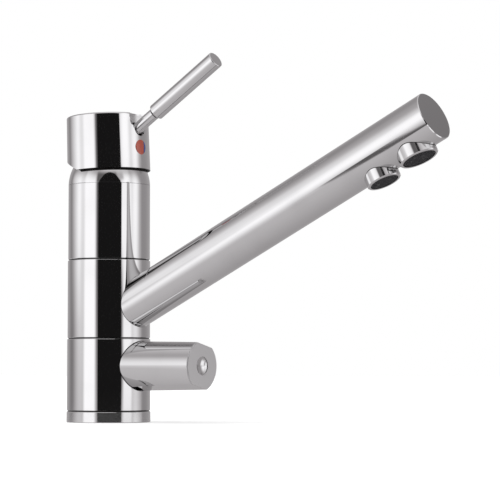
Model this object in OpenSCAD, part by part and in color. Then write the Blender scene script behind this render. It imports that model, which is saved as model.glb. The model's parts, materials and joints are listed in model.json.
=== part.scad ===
// Three-way filtered kitchen tap: hot, cold and filtered water from one pillar.
// Millimetres, +Z up, +X along the spout. The origin is the mouth of the fixing stud's hole on the deck.

/* [Pillar] */
// Diameter of the upper body, the slimmest drum of the pillar
body_d = 48.8; // [48:0.2:54]
// How much each drum is wider in radius than the one above it
drum_step = 0.2; // [0.1:0.05:0.6]
// Height of the base ring that stands on the deck
base_h = 6.5; // [5:0.5:9]
// Height of the lower body, from the base ring to its top edge
lower_h = 43.1; // [41:0.1:50]
// Height of the swivelling spout ring
ring_h = 46.3; // [44:0.1:54]
// Height of the upper body, up to the fine seam under the shoulder
upper_h = 44.7; // [43:0.1:54]
// Height of the gap between a fixed drum and the spout ring
seam_gap = 0.5; // [0.4:0.05:0.9]
// Chamfer on the edges of the drums
drum_chamfer = 0.4; // [0.2:0.05:0.8]
// Height of the shadow groove above the base ring
groove_h = 0.5; // [0.3:0.05:1]
// Depth of the shadow groove
groove_depth = 0.6; // [0.3:0.05:1]
// Height of the visible part of the domed shoulder ring
shoulder_h = 13.7; // [11:0.1:15]

/* [Underside] */
// Diameter of the lower body's boss inside the base ring
boss_d = 38; // [35:0.5:41]
// Diameter of the rubber gasket's section ring, measured to its middle
gasket_d = 44; // [42.6:0.2:44.4]
// Width of the rubber gasket
gasket_w = 2.6; // [1.8:0.1:3]
// Thickness of the rubber gasket
gasket_t = 2; // [1.5:0.1:3]
// Minor radius of the M8 fixing stud's thread
stud_r = 3.4; // [3:0.05:4]
// Depth of the fixing stud's hole
stud_depth = 14; // [10:0.5:16]
// Minor radius of the M10 threads of the three inlets
inlet_r = 4.5; // [4:0.05:4.8]
// Depth of the inlet threads
inlet_depth = 12; // [9:0.5:14]
// Distance of the inlets from the pillar's axis
inlet_offset = 10.5; // [9.8:0.1:11.5]
// Radius of the water passages
passage_r = 3; // [2.2:0.1:3.4]

/* [Spout] */
// Outside diameter of the spout tube
spout_d = 28; // [26:0.2:32]
// Wall of the spout tube
spout_wall = 1.2; // [0.8:0.1:2]
// Angle of the spout above the horizontal
spout_rise = 25.8; // [20:0.2:30]
// Length from the pillar's axis to the end face, along the tube
spout_len = 249.5; // [200:0.5:300]
// How far below the middle of the spout ring the tube's axis leaves it
spout_drop = 1.4; // [0:0.1:3]
// Thickness of the end disc's visible edge
end_disc_t = 1.5; // [1:0.1:3]
// Length of the end disc's spigot inside the tube
end_spigot_l = 4; // [2:0.5:8]
// Outside diameter of the filtered water hose inside the spout
hose_d = 6; // [5:0.1:7]
// Inside diameter of the hose
hose_bore_d = 4; // [3:0.1:4.4]
// How far below the tube's axis the hose runs
hose_offset = 3.8; // [3.2:0.1:4.2]

/* [Outlets] */
// Distance from the end face to the middle of the main outlet
main_setback = 18.3; // [16:0.1:24]
// Distance between the middles of the two outlets
outlet_pitch = 25; // [23:0.1:32]
// Outside diameter of the main outlet
main_d = 22.4; // [21:0.1:24]
// Outside diameter of the filtered outlet
filter_d = 19.6; // [18:0.1:21]
// How far the main outlet's lip stands below the tube
main_drop = 2.6; // [2:0.1:5]
// How far the filtered outlet's lip stands below the tube
filter_drop = 3.4; // [2:0.1:5]
// Wall of an outlet bush
bush_wall = 0.85; // [0.7:0.05:1.2]
// Wall of an aerator housing
housing_wall = 0.75; // [0.6:0.05:1]
// Thickness of an aerator housing's lip
lip_t = 1.5; // [1.2:0.1:2.5]
// Chamfer round an aerator housing's lip
lip_chamfer = 0.5; // [0.2:0.1:0.8]
// Height of an aerator housing's threaded spigot
spigot_h = 7.5; // [5:0.5:8]
// How far the aerator insert sits inside the lip
insert_recess = 0.8; // [0.4:0.1:1.5]
// Height of an aerator insert
insert_h = 6; // [4:0.5:7]
// Diameter of the holes in an aerator insert
jet_d = 1.3; // [0.8:0.1:1.5]
// Distance between the holes in an aerator insert
jet_pitch = 2.1; // [2:0.1:2.6]
// Thickness of the perforated face of an aerator insert
screen_t = 1; // [0.8:0.1:2]

/* [Filter valve] */
// Diameter of the filter handle
handle_d = 29.2; // [27:0.2:31]
// Distance from the pillar's axis to the handle's end face
handle_reach = 69.4; // [62:0.2:90]
// Running gap round the handle where it enters the lower body
recess_gap = 0.35; // [0.3:0.05:0.6]
// Body wall left above the handle's recess
recess_wall = 1.2; // [0.8:0.1:3]
// Distance from the pillar's axis to the floor of the recess
recess_floor = 17; // [16:0.2:18]
// Wall of the hollow part of the handle
handle_wall = 2; // [1.6:0.1:2.4]
// Length of the handle's solid front, ahead of its hollow
handle_front = 25.4; // [24:0.1:26]
// Depth of each finger flat at the handle's end face
flat_depth = 2.3; // [1.5:0.1:3]
// Depth of each finger flat at the handle's root
flat_root_depth = 0.6; // [0.4:0.1:1]
// Turn of the finger flats from the horizontal when the valve is closed
flat_turn = 13; // [0:1:20]
// Chamfer round the handle's end face
handle_chamfer = 0.6; // [0.3:0.1:1]
// Diameter of the plug in the handle's end face
plug_d = 11; // [9.4:0.2:13]
// Thickness of the plug
plug_t = 3; // [2:0.1:4]
// Gap between the corners of the headwork's hexagon and the handle
hexagon_gap = 0.6; // [0.4:0.05:1.5]
// How far the hexagon's corners stand out from the valve's threaded body
hexagon_lip = 2; // [1.6:0.1:3]
// Wall of the valve's threaded body
headwork_wall = 1.85; // [1.4:0.05:2.2]
// Thickness of the headwork's hexagon
hexagon_t = 5; // [4:0.2:6]
// Diameter of the headwork's neck
neck_d = 15; // [13:0.2:17]
// Length of the headwork's neck
neck_l = 13; // [10:0.5:14]
// Distance from the pillar's axis to the valve's inner seat
seat_x = 2.6; // [2.3:0.1:3]
// Width of the seal round the valve's inner seat
seat_seal_w = 4; // [3:0.1:5]
// Thickness of a valve disc
valve_disc_t = 2.5; // [2:0.1:3]
// Diameter of the valve stem
stem_d = 8; // [6.6:0.1:9]

/* [Core] */
// Diameter of the core column that the spout ring turns on
core_d = 37.2; // [36.6:0.1:38]
// Gap between the core column and the spout ring's bore
core_gap = 0.4; // [0.3:0.05:0.6]
// Diameter of the core column's threaded ends
core_spigot_d = 30; // [29:0.2:31]
// Length of the core column's threaded ends
core_spigot_l = 4; // [3:0.1:5]
// Height of a slip ring's sleeve
sleeve_h = 3; // [2:0.1:4]
// Thickness of a slip ring's sleeve
sleeve_t = 2.35; // [2:0.05:3]
// Section diameter of the core's O-rings
oring_d = 2.4; // [2:0.1:2.8]
// How far above the tube's axis the main port leaves the ring
main_port_rise = 4.1; // [3:0.1:6]
// Radius of the main port
main_port_r = 5; // [4:0.1:5.4]
// How far below the tube's axis the filtered port leaves the ring
filter_port_drop = 9.4; // [9:0.1:10]
// Distance from a water groove to the outer O-ring beside it
seal_gap = 3.4; // [2.6:0.1:4.2]

/* [Cartridge] */
// Diameter of the cartridge
cartridge_d = 39.8; // [39:0.1:40]
// Wall of the cartridge's shell
shell_wall = 2.1; // [1.8:0.1:2.4]
// Diameter of the cartridge's neck
shell_neck_d = 27.2; // [26.4:0.1:28]
// How far below the shoulder's seam the lift axis lies
lift_drop = 0.6; // [0:0.1:2]
// Length of the spindle's arm below the lift axis
ball_arm = 14; // [13:0.1:15]
// Radius of the ball at the spindle's lower end
ball_r = 2.5; // [2:0.1:3]
// Diameter of the moving ceramic disc
moving_disc_d = 25; // [23:0.2:26]
// Thickness of a ceramic disc
disc_t = 3.5; // [3:0.1:4]
// Thickness of the cartridge's base plate
plate_t = 5; // [4:0.1:6]
// Side of the spindle's square shank
spindle_w = 8; // [6.6:0.1:8.4]
// Radius of the pivot pin
pin_r = 2; // [1.5:0.1:2.4]
// Wall of the upper body round the nut
nut_thread_wall = 2.9; // [2.6:0.1:3.2]

/* [Handle cap] */
// Height of the gap between the shoulder's seam and the cap's lower edge
cap_lift = 8.3; // [7.4:0.1:9]
// Height of the cap
cap_h = 33; // [31:0.5:42]
// How far the cap's lower edge stands out from the upper body
cap_overhang = 0.45; // [0.2:0.05:1]
// How much the cap narrows in radius from its lower edge to its top
cap_draft = 0.35; // [0:0.05:0.8]
// Radius of the cap's rounded top edge
cap_edge_r = 1; // [0.5:0.1:2]
// Wall of the cap
cap_wall = 1.9; // [1.6:0.05:2]
// Thickness of the cap's top
cap_top_t = 3; // [2:0.1:5]
// Lean of the closed cap, away from the lever
cap_tilt = 2.2; // [0:0.1:3]
// Slope of the cut under the back of the cap
back_cut_angle = 24.4; // [22:0.2:26]
// Distance behind the axis where the cut begins
back_cut_start = 4.8; // [3.6:0.1:6]
// Depth of the lever's notch below the top of the cap
notch_depth = 13.7; // [12:0.1:15]
// Radius of the bottom of the notch
notch_r = 4.9; // [4.4:0.1:5.4]
// Angle of each side of the notch from the vertical
notch_angle = 24.6; // [18:0.2:28]
// Depth of the notch into the cap's wall, measured in its middle
notch_inset = 4.4; // [3.4:0.1:5]
// Diameter of the index button
button_d = 8.9; // [7.6:0.1:9.4]
// Height of the index button's middle above the cap's lower edge
button_rise = 12.6; // [12:0.1:13.4]
// How far the button's dome stands out
button_dome = 0.45; // [0.2:0.05:0.8]
// Radius of the set screw
set_screw_r = 2.5; // [2:0.1:2.5]

/* [Lever] */
// Angle of the lever above the cap's lower edge
lever_angle = 30.4; // [26:0.2:34]
// Height above the cap's lower edge where the lever's axis meets the cap's axis
lever_rise = 10.6; // [10:0.1:11.4]
// Diameter of the lever's neck
lever_neck_d = 7; // [6:0.1:7.6]
// Diameter of the lever's grip
grip_d = 10; // [9:0.1:12]
// Distance from the cap's axis to the start of the grip, along the lever
grip_start = 42; // [38:0.5:50]
// Distance from the cap's axis to the lever's tip, along the lever
lever_reach = 94.5; // [80:0.5:130]
// Chamfer at the start of the grip
grip_chamfer = 1; // [0.4:0.1:1.6]
// Radius of the rounded edge at the lever's tip
tip_edge_r = 0.6; // [0.3:0.1:1.2]

/* [Fits] */
// Running clearance in radius of a shaft in its hole
run_fit = 0.05; // [0.02:0.01:0.08]
// Clearance in radius of pieces that screw or push together
push_fit = 0.05; // [0.03:0.01:0.1]
// Clearance between moving faces that never touch
free_gap = 0.35; // [0.3:0.05:0.5]
// Width of the fine seam lines between chromed pieces
seam_line = 0.2; // [0.15:0.05:0.4]

/* [Hidden] */
$fn = 96;

// Overrun of every cut past the face that it opens
over = 1;
// Turn of a side bore's own seam line, which keeps it off the other bores
seam_turn = 40;
// Thickness of a paper-thin film of grease, left between faces that slide on each other
film = 0.02;

// Pillar, from the deck up
upper_r = body_d / 2;
ring_r = upper_r + drum_step;
lower_r = ring_r + drum_step;
base_r = lower_r + drum_step;
lower_top = base_h + lower_h;
ring_z = lower_top + seam_gap;
ring_top = ring_z + ring_h;
upper_z = ring_top + seam_gap;
upper_top = upper_z + upper_h;
boss_r = boss_d / 2;
inlet_turns = [0, 120, 240];
FILTERED = 0;
HOT = 1;
COLD = 2;
function inlet_x(n) = inlet_offset * cos(inlet_turns[n]);
function inlet_y(n) = inlet_offset * sin(inlet_turns[n]);

// Core column
core_r = core_d / 2;
bore_r = core_r + core_gap;
core_spigot_r = core_spigot_d / 2;
core_z = lower_top - core_spigot_l;
core_top = upper_z + core_spigot_l;
sleeve_r = core_r + sleeve_t;
slip_inset = 0.8;
exit_z = (ring_z + ring_top) / 2 - spout_drop;
main_port_z = exit_z + main_port_rise;
filter_port_z = exit_z - filter_port_drop;
filter_port_r = hose_bore_d / 2;
groove_margin = 0.4;
filter_groove_h = 2 * filter_port_r + groove_margin;
main_groove_h = 2 * (main_port_r + groove_margin);
groove_share = 0.78;
groove_r = core_r * groove_share;
oring_r = oring_d / 2;
oring_stand = 0.3;
oring_seat_r = core_r + oring_stand - oring_r;
seal_zs = [
    filter_port_z - filter_groove_h / 2 - seal_gap,
    (filter_port_z + filter_groove_h / 2 + main_port_z - main_groove_h / 2) / 2,
    main_port_z + main_groove_h / 2 + seal_gap
];
joint_seal_d = 1.6;
joint_seal_r = joint_seal_d / 2;
joint_seal_seat_r = core_spigot_r - joint_seal_r - push_fit;

// Spout and its outlets
spout_r = spout_d / 2;
spout_bore_r = spout_r - spout_wall;
spout_z = exit_z - ring_r * tan(spout_rise);
main_along = spout_len - main_setback;
filter_along = main_along - outlet_pitch;
main_lip = spout_r + main_drop;
filter_lip = spout_r + filter_drop;
end_chamfer = drum_chamfer;
bush_step = 1.6;
bush_top_share = 0.25;
hose_r = hose_d / 2;
hose_bore_r = hose_bore_d / 2;
bush_cap_t = 1.5;

// The hose runs straight from the filtered port to its bush, a little steeper than the spout
hose_end_along = filter_along - filter_d / 2 + bush_wall;
hose_end_x = hose_end_along * cos(spout_rise) + hose_offset * sin(spout_rise);
hose_end_z = spout_z + hose_end_along * sin(spout_rise) - hose_offset * cos(spout_rise);
hose_angle = atan2(hose_end_z - filter_port_z, hose_end_x - bore_r);
hose_end = norm([hose_end_z - filter_port_z, hose_end_x - bore_r]);
hose_start = (ring_r + run_fit - bore_r) / cos(hose_angle) + hose_r * tan(hose_angle);
nipple_start = free_gap;
nipple_end = hose_start + hose_d;

// Filter valve
handle_r = handle_d / 2;
recess_r = handle_r + recess_gap;
valve_z = lower_top - recess_wall - recess_r;
handle_root = recess_floor + free_gap;
hexagon_r = handle_r - handle_wall - hexagon_gap;
headwork_r = hexagon_r - hexagon_lip;
headwork_fit_r = headwork_r + push_fit;
neck_r = neck_d / 2;
neck_x = recess_floor + hexagon_t;
neck_end = neck_x + neck_l;
seal_t = 1;
chamber_r = headwork_r - headwork_wall;
valve_disc_r = chamber_r - free_gap;
valve_disc_x = seat_x + seal_t;
moving_valve_disc_x = valve_disc_x + valve_disc_t;
driver_x = moving_valve_disc_x + valve_disc_t;
driver_t = 2.4;
stem_r = stem_d / 2;
web_x = handle_reach - handle_front;
stem_grip = 8;
stem_end = web_x + stem_grip;
valve_port_place_share = 0.5;
valve_port_share = 0.25;
valve_outlet_r = headwork_r - seat_seal_w;
valve_outlet_x = seat_x - passage_r;
stem_seal_inset = 3;
stem_seal_pitch = 3.5;
stem_seal_xs = [neck_end - stem_seal_inset, neck_end - stem_seal_inset - stem_seal_pitch];
stem_seal_r = 0.5;
screw_r = 2;
screw_head_r = 3.6;
screw_head_t = 2.4;
screw_web_t = 6;
screw_grip = 8;
screw_l = screw_web_t + screw_grip;
socket_share = 0.5;
plug_r = plug_d / 2;
plug_gap = 0.5;
plug_dish = 1.2;

// Cartridge, from the lift axis down
lift_max = 22;
lift_z = upper_top - lift_drop;
cartridge_r = cartridge_d / 2;
shell_bore_r = cartridge_r - shell_wall;
ball_z = lift_z - ball_arm * cos(cap_tilt);
ball_x = ball_arm * sin(cap_tilt);
carrier_z = ball_z - ball_r - free_gap;
carrier_t = 5.2;
collar_h = ball_r + ball_r;
collar_wall = 2.6;
collar_r = ball_r + free_gap + collar_wall;
moving_disc_top = carrier_z - carrier_t;
moving_disc_z = moving_disc_top - disc_t;
fixed_disc_top = moving_disc_z - film;
fixed_disc_z = fixed_disc_top - disc_t;
cartridge_z = fixed_disc_z - plate_t;
moving_disc_r = moving_disc_d / 2;
carrier_lip = 1;
carrier_r = moving_disc_r + carrier_lip;
carrier_flat_cut = 0.2;
carrier_flat = moving_disc_r - carrier_flat_cut;
disc_rest_x = -2.6;
rotor_r = shell_bore_r - free_gap;
rotor_roof = 1.4;
rotor_top = ball_z + ball_r + free_gap + rotor_roof;
shell_ceiling = rotor_top + free_gap;
shell_top = shell_ceiling + shell_wall;
shell_neck_r = shell_neck_d / 2;
rotor_neck_r = shell_neck_r - shell_wall - free_gap;
rotor_neck_rise = 4.4;
rotor_neck_top = lift_z + rotor_neck_rise;
shell_neck_top = rotor_neck_top + free_gap;
skirt_z = moving_disc_top + free_gap;
port_r = passage_r;
nut_r = upper_r - nut_thread_wall - push_fit;
nut_neck_r = 17;
nut_neck_h = 5.6;
nut_neck_top = upper_top + nut_neck_h;
nut_slot_w = 3;

// Shoulder and handle cap
shoulder_z = upper_top + seam_line;
shoulder_top = upper_top + shoulder_h;
shoulder_seat_inset = 0.8;
shoulder_seat_r = upper_r - shoulder_seat_inset;
shoulder_hole_r = 14.6;
cap_z = upper_top + cap_lift;
cap_top = cap_z + cap_h;
cap_r = upper_r + cap_overhang;
cap_top_r = cap_r - cap_draft;
cap_bore_r = cap_r - cap_wall;
cap_ceiling = cap_top - cap_top_t;
lever_z = cap_z + lever_rise;
button_z = cap_z + button_rise;
button_r = button_d / 2;
button_depth = 2.2;
boss_half = 6.6;
boss_back = 5.6;
boss_ramp_x = 1;
boss_front_rise = 8.6;
boss_back_rise = 12;
boss_front_z = cap_z + boss_front_rise;
boss_back_z = cap_z + boss_back_rise;
spindle_half = spindle_w / 2;
spindle_top_gap = 2.4;
spindle_top = cap_ceiling - spindle_top_gap;
notch_face_r = 14;
notch_lap = 0.2;
notch_x = cap_r - notch_inset;
notch_centre_z = cap_top - notch_depth + notch_r;
pad_half = 10;
pad_t = 3.4;
pad_rise = 6;
pad_x = notch_x - pad_t;
pad_z = boss_front_z + pad_rise;
set_screw_l = 7;
set_screw_end = spindle_half + set_screw_l;
screw_way_r = set_screw_r + push_fit;

// Lever
neck_rod_r = lever_neck_d / 2;
neck_rod_start = 17.6;
grip_r = grip_d / 2;
neck_in_grip = 14;

// A disc between two heights
module disc(r, z0, z1) {
    translate([0, 0, z0]) cylinder(r = r, h = z1 - z0);
}

// A straight ring between two heights
module tube(r_out, r_in, z0, z1) {
    difference() {
        disc(r_out, z0, z1);
        disc(r_in, z0 - over, z1 + over);
    }
}

// A cutter for a groove round a shaft of radius r: floor_r at its floor, wide along the axis, middle at z
module ring_groove(r, floor_r, z, wide) {
    tube(r + over, floor_r, z - wide / 2, z + wide / 2);
}

// A drum with a chamfer c0 at its lower edge and c1 at its upper edge
module drum(r, z0, z1, c0, c1) {
    rotate_extrude() polygon([
        [0, z0], [r - c0, z0], [r, z0 + c0], [r, z1 - c1], [r - c1, z1], [0, z1]
    ]);
}

// An O-ring whose section of radius r runs round at seat_r, at height z
module o_ring(seat_r, r, z) {
    rotate_extrude() translate([seat_r, z]) circle(r = r, $fn = 32);
}

// Children built along +Z are laid along +X at the filter valve's height
module on_valve_axis() {
    translate([0, 0, valve_z]) rotate([0, 90, 0]) children();
}

// Children built along +Z are laid along the spout, with local +X to its underside
module on_spout_axis() {
    translate([0, 0, spout_z]) rotate([0, 90 - spout_rise, 0]) children();
}

// Children built along +Z point out of the spout's underside, at a distance along the spout
module on_outlet_axis(along) {
    on_spout_axis() translate([0, 0, along]) rotate([0, 90, 0]) children();
}

// Children built along +Z are laid along the hose, from where its port opens in the ring's bore
module on_hose_axis() {
    translate([bore_r, 0, filter_port_z]) rotate([0, 90 - hose_angle, 0]) children();
}

// Children built upright lean back with the closed cap
module leaning() {
    translate([0, 0, lift_z]) rotate([0, -cap_tilt, 0]) translate([0, 0, -lift_z]) children();
}

// Children built along +Z are laid along the lever
module on_lever_axis() {
    leaning() translate([0, 0, lever_z]) rotate([0, 90 - lever_angle, 0]) children();
}

// Trim ring on the deck, with a channel for its gasket
module base_ring() {
    color("silver") difference() {
        drum(base_r, 0, base_h, drum_chamfer, drum_chamfer);
        disc(boss_r + push_fit, -over, base_h + over);
        tube(gasket_d / 2 + gasket_w / 2, gasket_d / 2 - gasket_w / 2, -over, gasket_t);
    }
}

module base_gasket() {
    color("dimgray") tube(gasket_d / 2 + gasket_w / 2, gasket_d / 2 - gasket_w / 2, 0, gasket_t);
}

// Chromed brass body with the inlets, the filter valve's side bore and the core's socket
module lower_body() {
    color("silver") difference() {
        union() {
            disc(boss_r, 0, base_h + over);
            disc(lower_r - groove_depth, base_h, base_h + groove_h + over);
            drum(lower_r, base_h + groove_h, lower_top, drum_chamfer, drum_chamfer);
        }
        disc(stud_r, -over, stud_depth);
        for (n = [FILTERED, HOT, COLD]) {
            translate([inlet_x(n), inlet_y(n), 0]) disc(inlet_r, -over, inlet_depth);
        }
        for (n = [HOT, COLD]) {
            translate([inlet_x(n), inlet_y(n), 0]) disc(passage_r, 0, core_z + over);
        }
        translate([inlet_x(FILTERED), 0, 0]) disc(passage_r, 0, valve_z - headwork_r + over);
        on_valve_axis() rotate(seam_turn) {
            disc(recess_r, recess_floor, lower_r + over);
            disc(headwork_fit_r, seat_x, recess_floor + over);
            disc(valve_outlet_r, valve_outlet_x, seat_x + over);
        }
        disc(filter_port_r, valve_z, core_z + over);
        disc(core_spigot_r + push_fit, core_z, lower_top + over);
    }
}

// Brass column with two water grooves, three O-ring grooves and threaded ends
module core_column() {
    color("goldenrod") difference() {
        union() {
            disc(core_spigot_r, core_z, core_top);
            disc(core_r, lower_top, upper_z);
        }
        ring_groove(core_r, groove_r, filter_port_z, filter_groove_h);
        ring_groove(core_r, groove_r, main_port_z, main_groove_h);
        for (z = seal_zs) {
            ring_groove(core_r, oring_seat_r - oring_r, z, oring_d);
        }
        for (n = [HOT, COLD]) {
            translate([inlet_x(n), inlet_y(n), 0]) disc(passage_r, core_z - over, core_top + over);
        }
        translate([inlet_x(FILTERED), 0, 0]) disc(passage_r, main_port_z, core_top + over);
        translate([inlet_x(FILTERED), 0, main_port_z]) rotate([0, 90, 0]) disc(passage_r, 0, core_r);
        disc(filter_port_r, core_z - over, filter_port_z);
        translate([0, 0, filter_port_z]) rotate([0, 90, 0]) disc(filter_port_r, 0, core_r);
        for (z = [core_z, core_top]) {
            ring_groove(core_spigot_r, joint_seal_seat_r - joint_seal_r, z, 2 * joint_seal_d);
        }
    }
}

module core_o_rings() {
    color("dimgray") for (z = seal_zs) {
        o_ring(oring_seat_r, oring_r, z);
    }
}

// Static O-rings that seal the core's ends in the lower and the upper body
module core_joint_seals() {
    color("dimgray") {
        o_ring(joint_seal_seat_r, joint_seal_r, core_z + joint_seal_r);
        o_ring(joint_seal_seat_r, joint_seal_r, core_top - joint_seal_r);
    }
}

// Plastic rings that the spout ring turns on
module lower_slip_ring() {
    color("white") {
        tube(sleeve_r, core_r, lower_top, ring_z + sleeve_h);
        tube(lower_r - slip_inset, core_r, lower_top, ring_z - run_fit);
    }
}

module upper_slip_ring() {
    color("white") {
        tube(sleeve_r, core_r, ring_top - sleeve_h, upper_z);
        tube(upper_r - slip_inset, core_r, ring_top + run_fit, upper_z);
    }
}

// Swivelling drum that carries the spout tube
module spout_ring() {
    color("silver") difference() {
        drum(ring_r, ring_z, ring_top, drum_chamfer, drum_chamfer);
        disc(bore_r, ring_z - over, ring_top + over);
        disc(sleeve_r + run_fit, ring_z - over, ring_z + sleeve_h + free_gap);
        disc(sleeve_r + run_fit, ring_top - sleeve_h - free_gap, ring_top + over);
        translate([0, 0, main_port_z]) rotate([0, 90, 0]) disc(main_port_r, 0, ring_r + over);
        on_hose_axis() disc(hose_bore_r, -hose_r, hose_start);
    }
}

// Chromed brass tube, saddled on the ring and drilled for both outlets
module spout_tube() {
    color("silver") difference() {
        on_spout_axis() tube(spout_r, spout_bore_r, 0, spout_len - end_disc_t);
        disc(ring_r, 0, upper_top);
        on_outlet_axis(main_along) disc(main_d / 2, 0, main_lip);
        on_outlet_axis(filter_along) disc(filter_d / 2, 0, filter_lip);
    }
}

module spout_end_disc() {
    color("silver") on_spout_axis() {
        drum(spout_r, spout_len - end_disc_t, spout_len, 0, end_chamfer);
        disc(spout_bore_r - push_fit, spout_len - end_disc_t - end_spigot_l, spout_len - end_disc_t);
    }
}

// Brass nipple pushed into the spout ring, which the hose slips over
module hose_nipple() {
    color("goldenrod") on_hose_axis() tube(hose_bore_r, hose_bore_r / 2, nipple_start, nipple_end);
}

// Hose that keeps the filtered water apart on its way to its own outlet
module filter_hose() {
    color("white") on_hose_axis() tube(hose_r, hose_bore_r, hose_start, hose_end);
}

// Bush brazed into the tube: a sleeve with a step that the aerator's seal rests on
module outlet_bush(r, lip, top) {
    bore = r - bush_wall;
    floor_z = lip - lip_t - spigot_h - seal_t;
    tube(r, bore, floor_z, lip - lip_t);
    tube(r, bore - bush_step, top, floor_z);
}

// Threaded ring with the visible lip
module aerator_housing(r, lip) {
    spigot_r = r - bush_wall - push_fit;
    open_r = spigot_r - housing_wall;
    difference() {
        union() {
            disc(spigot_r, lip - lip_t - spigot_h, lip - lip_t);
            drum(r, lip - lip_t, lip, 0, lip_chamfer);
        }
        disc(open_r, lip - lip_t - spigot_h - over, lip + over);
    }
}

// Plastic cup with a perforated face, in hexagonal rows
module aerator_insert(r, lip) {
    insert_r = r - bush_wall - push_fit - housing_wall - push_fit;
    face = lip - insert_recess;
    rows = ceil(insert_r / jet_pitch);
    difference() {
        disc(insert_r, face - insert_h, face);
        disc(insert_r - screen_t, face - insert_h - over, face - screen_t);
        for (i = [-rows : rows], j = [-rows : rows]) {
            x = (i + j / 2) * jet_pitch;
            y = j * jet_pitch * sin(60);
            if (norm([x, y]) < insert_r - screen_t - jet_d) {
                translate([x, y, 0]) disc(jet_d / 2, face - screen_t - over, face + over, $fn = 16);
            }
        }
    }
}

module aerator_seal(r, lip) {
    seal_top = lip - lip_t - spigot_h;
    tube(r - bush_wall - push_fit, r - bush_wall - bush_step, seal_top - seal_t, seal_top);
}

module main_outlet_bush() {
    color("silver") on_outlet_axis(main_along) {
        outlet_bush(main_d / 2, main_lip, spout_r * bush_top_share);
    }
}

module main_aerator_seal() {
    color("dimgray") on_outlet_axis(main_along) aerator_seal(main_d / 2, main_lip);
}

module main_aerator_housing() {
    color("silver") on_outlet_axis(main_along) aerator_housing(main_d / 2, main_lip);
}

module main_aerator_insert() {
    color("dimgray") on_outlet_axis(main_along) aerator_insert(main_d / 2, main_lip);
}

// The filtered bush is closed at its top, so that the hose alone feeds it
module filter_outlet_bush() {
    color("silver") difference() {
        on_outlet_axis(filter_along) {
            outlet_bush(filter_d / 2, filter_lip, 0);
            disc(filter_d / 2, -bush_cap_t, 0);
        }
        on_hose_axis() {
            disc(hose_r, hose_end - hose_d, hose_end);
            disc(hose_bore_r, hose_end - over, hose_end + filter_d / 2);
        }
    }
}

module filter_aerator_seal() {
    color("dimgray") on_outlet_axis(filter_along) aerator_seal(filter_d / 2, filter_lip);
}

module filter_aerator_housing() {
    color("silver") on_outlet_axis(filter_along) aerator_housing(filter_d / 2, filter_lip);
}

module filter_aerator_insert() {
    color("dimgray") on_outlet_axis(filter_along) aerator_insert(filter_d / 2, filter_lip);
}

// Quarter-turn ceramic headwork of the filter valve
module valve_headwork() {
    color("goldenrod") on_valve_axis() difference() {
        union() {
            disc(headwork_r, valve_disc_x, recess_floor);
            disc(hexagon_r, recess_floor, neck_x, $fn = 6);
            disc(neck_r, neck_x, neck_end);
        }
        disc(chamber_r, valve_disc_x - over, driver_x + driver_t + free_gap);
        disc(stem_r + run_fit, driver_x, neck_end + over);
        translate([0, 0, inlet_x(FILTERED)]) rotate([0, 90, 0]) disc(passage_r, 0, headwork_r + over);
    }
}

module valve_seat_seal() {
    color("dimgray") on_valve_axis() tube(headwork_r, valve_outlet_r, seat_x, valve_disc_x);
}

// A ceramic disc with two sector ports, opposite each other
module valve_disc(r, x0, x1) {
    difference() {
        disc(r, x0, x1);
        for (side = [-1, 1]) {
            translate([0, side * r * valve_port_place_share, 0]) {
                disc(r * valve_port_share, x0 - over, x1 + over);
            }
        }
    }
}

module valve_fixed_disc() {
    color("white") on_valve_axis() valve_disc(chamber_r, valve_disc_x, moving_valve_disc_x - film);
}

module valve_moving_disc() {
    color("white") on_valve_axis() rotate([0, 0, 90]) {
        valve_disc(valve_disc_r, moving_valve_disc_x, driver_x);
    }
}

// Stem with a driver for the moving disc, seal grooves and a tapped end
module valve_stem() {
    color("goldenrod") on_valve_axis() difference() {
        union() {
            disc(valve_disc_r, driver_x, driver_x + driver_t);
            disc(stem_r, driver_x + driver_t, stem_end);
        }
        for (x = stem_seal_xs) {
            ring_groove(stem_r, stem_r - 2 * stem_seal_r, x, 2 * stem_seal_r);
        }
        disc(screw_r, stem_end - screw_l + screw_web_t, stem_end + over);
    }
}

module valve_stem_o_rings() {
    color("dimgray") on_valve_axis() for (x = stem_seal_xs) {
        o_ring(stem_r - stem_seal_r, stem_seal_r, x);
    }
}

// One finger flat, deepest at the end face
module finger_flat() {
    rise = atan2(flat_depth - flat_root_depth, handle_reach - handle_root);
    translate([-handle_r + flat_depth, 0, handle_reach]) rotate([0, rise, 0]) {
        translate([-handle_r, -handle_r, -handle_reach]) {
            cube([handle_r, handle_d, handle_reach + handle_r]);
        }
    }
}

// Hollow knob over the headwork, with two flats for the fingers
module filter_handle() {
    color("silver") on_valve_axis() difference() {
        drum(handle_r, handle_root, handle_reach, drum_chamfer, handle_chamfer);
        disc(handle_r - handle_wall, handle_root - over, web_x);
        disc(stem_r + push_fit, web_x - over, stem_end);
        disc(screw_r + push_fit, stem_end - over, stem_end + screw_web_t);
        disc(screw_head_r + push_fit, stem_end + screw_web_t, handle_reach);
        disc(plug_r, handle_reach - plug_t, handle_reach + over);
        rotate([0, 0, -flat_turn]) {
            finger_flat();
            mirror([1, 0, 0]) finger_flat();
        }
    }
}

// Pan-head screw that holds the knob on the stem
module handle_screw() {
    color("gray") on_valve_axis() difference() {
        union() {
            disc(screw_r, stem_end + screw_web_t - screw_l, stem_end + screw_web_t);
            disc(screw_head_r, stem_end + screw_web_t, stem_end + screw_web_t + screw_head_t);
        }
        translate([0, 0, stem_end + screw_web_t + screw_head_t / 2]) {
            disc(screw_head_r * socket_share, 0, screw_head_t, $fn = 6);
        }
    }
}

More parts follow.
